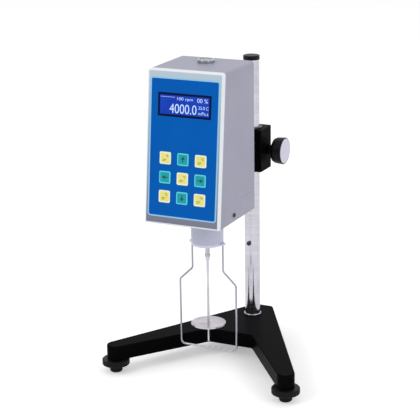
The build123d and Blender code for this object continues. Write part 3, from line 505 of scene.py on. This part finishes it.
bpy.ops.mesh.inset(thickness=keyField["rim"] - keyCap["edge"], depth=0)
bpy.ops.mesh.inset(thickness=keyCap["slope"], depth=-keyCap["dish"])
bpy.ops.object.mode_set(mode="OBJECT")
bpy.ops.object.shade_smooth_by_angle(angle=math.radians(35))
blankCap = bpy.context.object
printed = 0.06  # thickness of the marks on the keys


def arrowMark():
    # head and stem of an arrow that points up
    look = {"head": 3.0, "headAt": 1.4, "stem": (1.3, 4.0), "stemAt": -1.9}
    alone()
    bpy.ops.mesh.primitive_circle_add(vertices=3, radius=look["head"], fill_type="NGON",
                                      location=(0, look["headAt"], 0))
    bpy.ops.object.transform_apply(location=True, rotation=True, scale=True)
    bpy.ops.object.mode_set(mode="EDIT")
    bpy.ops.mesh.select_all(action="SELECT")
    bpy.ops.mesh.extrude_region_move(TRANSFORM_OT_translate={"value": (0, 0, printed)})
    bpy.ops.mesh.select_all(action="DESELECT")
    bpy.ops.mesh.primitive_cube_add(size=1.0, location=(0, look["stemAt"], printed / 2),
                                    scale=(*look["stem"], printed))
    bpy.ops.mesh.select_all(action="SELECT")
    bpy.ops.mesh.normals_make_consistent(inside=False)
    bpy.ops.object.mode_set(mode="OBJECT")
    return bpy.context.object


def tickMark():
    # three squares in the corner of a yellow key and two bars below them: x, y, width, height
    first = (3.4, 3.5, 1.3, 1.3)
    others = ((1.6, 3.5, 1.3, 1.3), (3.4, 1.7, 1.3, 1.3), (-1.4, -1.8, 5.6, 0.9), (-2.2, -3.6, 4.0, 0.9))
    alone()
    bpy.ops.mesh.primitive_cube_add(size=1.0, location=(first[0], first[1], printed / 2),
                                    scale=(first[2], first[3], printed))
    bpy.ops.object.mode_set(mode="EDIT")
    for x, y, wide, high in others:
        bpy.ops.mesh.primitive_cube_add(size=1.0, location=(x, y, printed / 2), scale=(wide, high, printed))
    bpy.ops.mesh.select_all(action="SELECT")
    bpy.ops.mesh.bevel(offset=0.02, segments=1)
    bpy.ops.object.mode_set(mode="OBJECT")
    bpy.ops.object.transform_apply(location=True, rotation=True, scale=True)
    return bpy.context.object


arrow = arrowMark()
ticks = tickMark()
arrowTurns = {(1, 2): 0.0, (2, 1): 90.0, (2, 3): -90.0, (3, 2): 180.0}
shrink = Matrix.Scale(0.001, 4)
lift = Matrix.Translation((0, 0, keyCap["front"] - keyCap["dish"]))
for row in (1, 2, 3):
    for column in (1, 2, 3):
        node = "key_%d_%d" % (row, column)
        turn = arrowTurns.get((row, column))  # none on a yellow key
        place = onPanel(keyField["pitch"] * (column - 2),
                        keyField["centre"] + keyField["pitch"] * (row - 2), 0.0) @ shrink
        cap = copyOf(blankCap, "cap_%d_%d" % (row, column), place,
                     keyYellow if turn is None else keyTeal)
        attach(cap, bodyOf(node))
        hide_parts(node)
        mark = copyOf(ticks if turn is None else arrow, "mark_%d_%d" % (row, column),
                      place @ lift @ Matrix.Rotation(math.radians(turn or 0.0), 4, "Z"),
                      markOlive if turn is None else markDark)
        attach(mark, bodyOf(node))
for spare in (blankCap, arrow, ticks):
    bpy.data.objects.remove(spare, do_unlink=True)
print("keys made")

# readings on the display: text, width and height in millimetres, place on the face
readings = {
    "readingValue": ("4000.0", 38.0, 12.0, -2.0, 48.6),
    "readingSpeed": ("100 rpm", 22.0, 5.0, 0.5, 36.4),
    "readingLabel": ("------", 20.0, 0.5, -24.0, 34.4),
    "readingShare": ("00 %", 15.0, 5.2, 25.0, 36.4),
    "readingHeat": ("25.0 C", 14.0, 4.0, 26.5, 45.4),
    "readingUnit": ("mPa.s", 14.0, 4.0, 26.5, 52.4),
}
glyph = {"extrude": 0.02, "sink": -0.06}  # how thick the characters are, and how far below the sheet
for name, (words, wide, high, u, v) in readings.items():
    alone()
    bpy.ops.object.text_add(location=(0, 0, 0))
    bpy.context.object.data.body = words
    bpy.context.object.data.align_x = "CENTER"
    bpy.context.object.data.extrude = glyph["extrude"]
    bpy.ops.object.convert(target="MESH")
    corners = [point.co for point in bpy.context.object.data.vertices]
    left, right = min(c.x for c in corners), max(c.x for c in corners)
    foot, head = min(c.y for c in corners), max(c.y for c in corners)
    stretch = Matrix.Diagonal((wide / (right - left), high / (head - foot), 1.0, 1.0))
    centred = Matrix.Translation((-(left + right) / 2, -(foot + head) / 2, 0))
    settle(name, onPanel(u, v, glyph["sink"]) @ shrink @ stretch @ centred, digitGlow, "head")
print("display readings made")

# bubble in the level's vial, and the ring that it is read against
level = {"ring": 0.0042, "line": 0.00014, "ringSink": 0.00008, "bubble": 0.0024, "flat": 0.22,
         "cut": -0.0003, "aside": 0.0004, "bubbleSink": 0.00045}
vialLow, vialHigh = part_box("level_vial")
vialX, vialY = (vialLow.x + vialHigh.x) / 2, (vialLow.y + vialHigh.y) / 2
alone()
bpy.ops.mesh.primitive_torus_add(major_radius=level["ring"], minor_radius=level["line"],
                                 major_segments=64, minor_segments=8)
settle("levelRing", Matrix.Translation((vialX, vialY, vialHigh.z - level["ringSink"])),
       markDark, bodyOf("level_vial"))
alone()
bpy.ops.mesh.primitive_uv_sphere_add(segments=32, ring_count=16, radius=level["bubble"])
bpy.context.object.data.transform(Matrix.Diagonal((1.0, 1.0, level["flat"], 1.0)))
bpy.ops.object.mode_set(mode="EDIT")
pick(lambda spot, way: spot.z < level["cut"])  # the bubble lies flat on the fluid
bpy.ops.mesh.delete(type="FACE")
bpy.ops.mesh.select_mode(type="EDGE")
bpy.ops.mesh.select_all(action="DESELECT")
bpy.ops.mesh.select_non_manifold()
bpy.ops.mesh.fill()
bpy.ops.mesh.select_all(action="SELECT")
bpy.ops.mesh.normals_make_consistent(inside=False)
bpy.ops.object.mode_set(mode="OBJECT")
bpy.ops.object.shade_smooth_by_angle(angle=math.radians(40))
settle("levelBubble", Matrix.Translation((vialX + level["aside"], vialY, vialHigh.z - level["bubbleSink"])),
       markPale, bodyOf("level_vial"))
print("level made")

# floor, lamps and background
room = {"floor": 0.90, "world": 0.66, "lift": 0.36, "side": 40.0}
alone()
bpy.ops.mesh.primitive_grid_add(x_subdivisions=4, y_subdivisions=4, size=room["side"], location=(0, 0, 0))
floor = bpy.context.object
floor.name = "floor"
floorPale = Finish("floorPale", {"Metallic": 0.0, "Roughness": 0.9, "Specular IOR Level": 0.1,
                                 "Base Color": (room["floor"],) * 3 + (1.0,), "Emission Strength": 1.0})
floorPale.feed("Emission Color", floorPale.mix(
    floorPale.shown(), (0.0, 0.0, 0.0, 1.0), (room["lift"],) * 3 + (1.0,)))
floor.data.materials.append(floorPale.material)

world = bpy.data.worlds.new("room")
bpy.context.scene.world = world
world.use_nodes = True
sky = Net(world.node_tree, "Background")
sky.shader.inputs["Color"].default_value = (1.0, 1.0, 1.0, 1.0)
sky.feed("Strength", room["world"] + sky.shown() * (1.0 - room["world"]))

# place, power in watts and size of each lamp; all of them look at the middle of the object
lamps = {
    "lampKey": ((-1.3, -1.9, 2.0), 17.0, 1.2),
    "lampSide": ((1.9, -0.9, 1.5), 8.0, 1.0),
    "lampRear": ((0.6, 1.9, 1.8), 5.0, 1.2),
}
lampAim = (0, 0, 0.2)
for name, (spot, power, size) in lamps.items():
    lamp = bpy.data.lights.new(name, "AREA")
    lamp.energy = power
    lamp.size = size
    holder = bpy.data.objects.new(name, lamp)
    bpy.context.collection.objects.link(holder)
    holder.location = spot
    holder.rotation_euler = (Vector(lampAim) - Vector(spot)).to_track_quat("-Z", "Y").to_euler()

# the lens comes from a focal length in pixels of the 420 pixel picture
eye = {"spot": (0.796652, -1.721943, 0.785077), "turn": 0.444, "dip": 0.288, "roll": -0.014,
       "focal": 1450.0, "picture": 420.0, "sensor": 36.0, "reach": 100.0}
camera = bpy.data.cameras.new("camera")
camera.lens = eye["focal"] / eye["picture"] * eye["sensor"]
camera.sensor_width = eye["sensor"]
camera.clip_end = eye["reach"]
holder = bpy.data.objects.new("camera", camera)
bpy.context.collection.objects.link(holder)
holder.location = eye["spot"]
holder.rotation_euler = (Matrix.Rotation(eye["turn"], 3, "Z")
                         @ Matrix.Rotation(math.pi / 2 - eye["dip"], 3, "X")
                         @ Matrix.Rotation(eye["roll"], 3, "Z")).to_euler()
bpy.context.scene.camera = holder
bpy.context.scene.view_settings.view_transform = "Standard"
print("camera and lamps set")
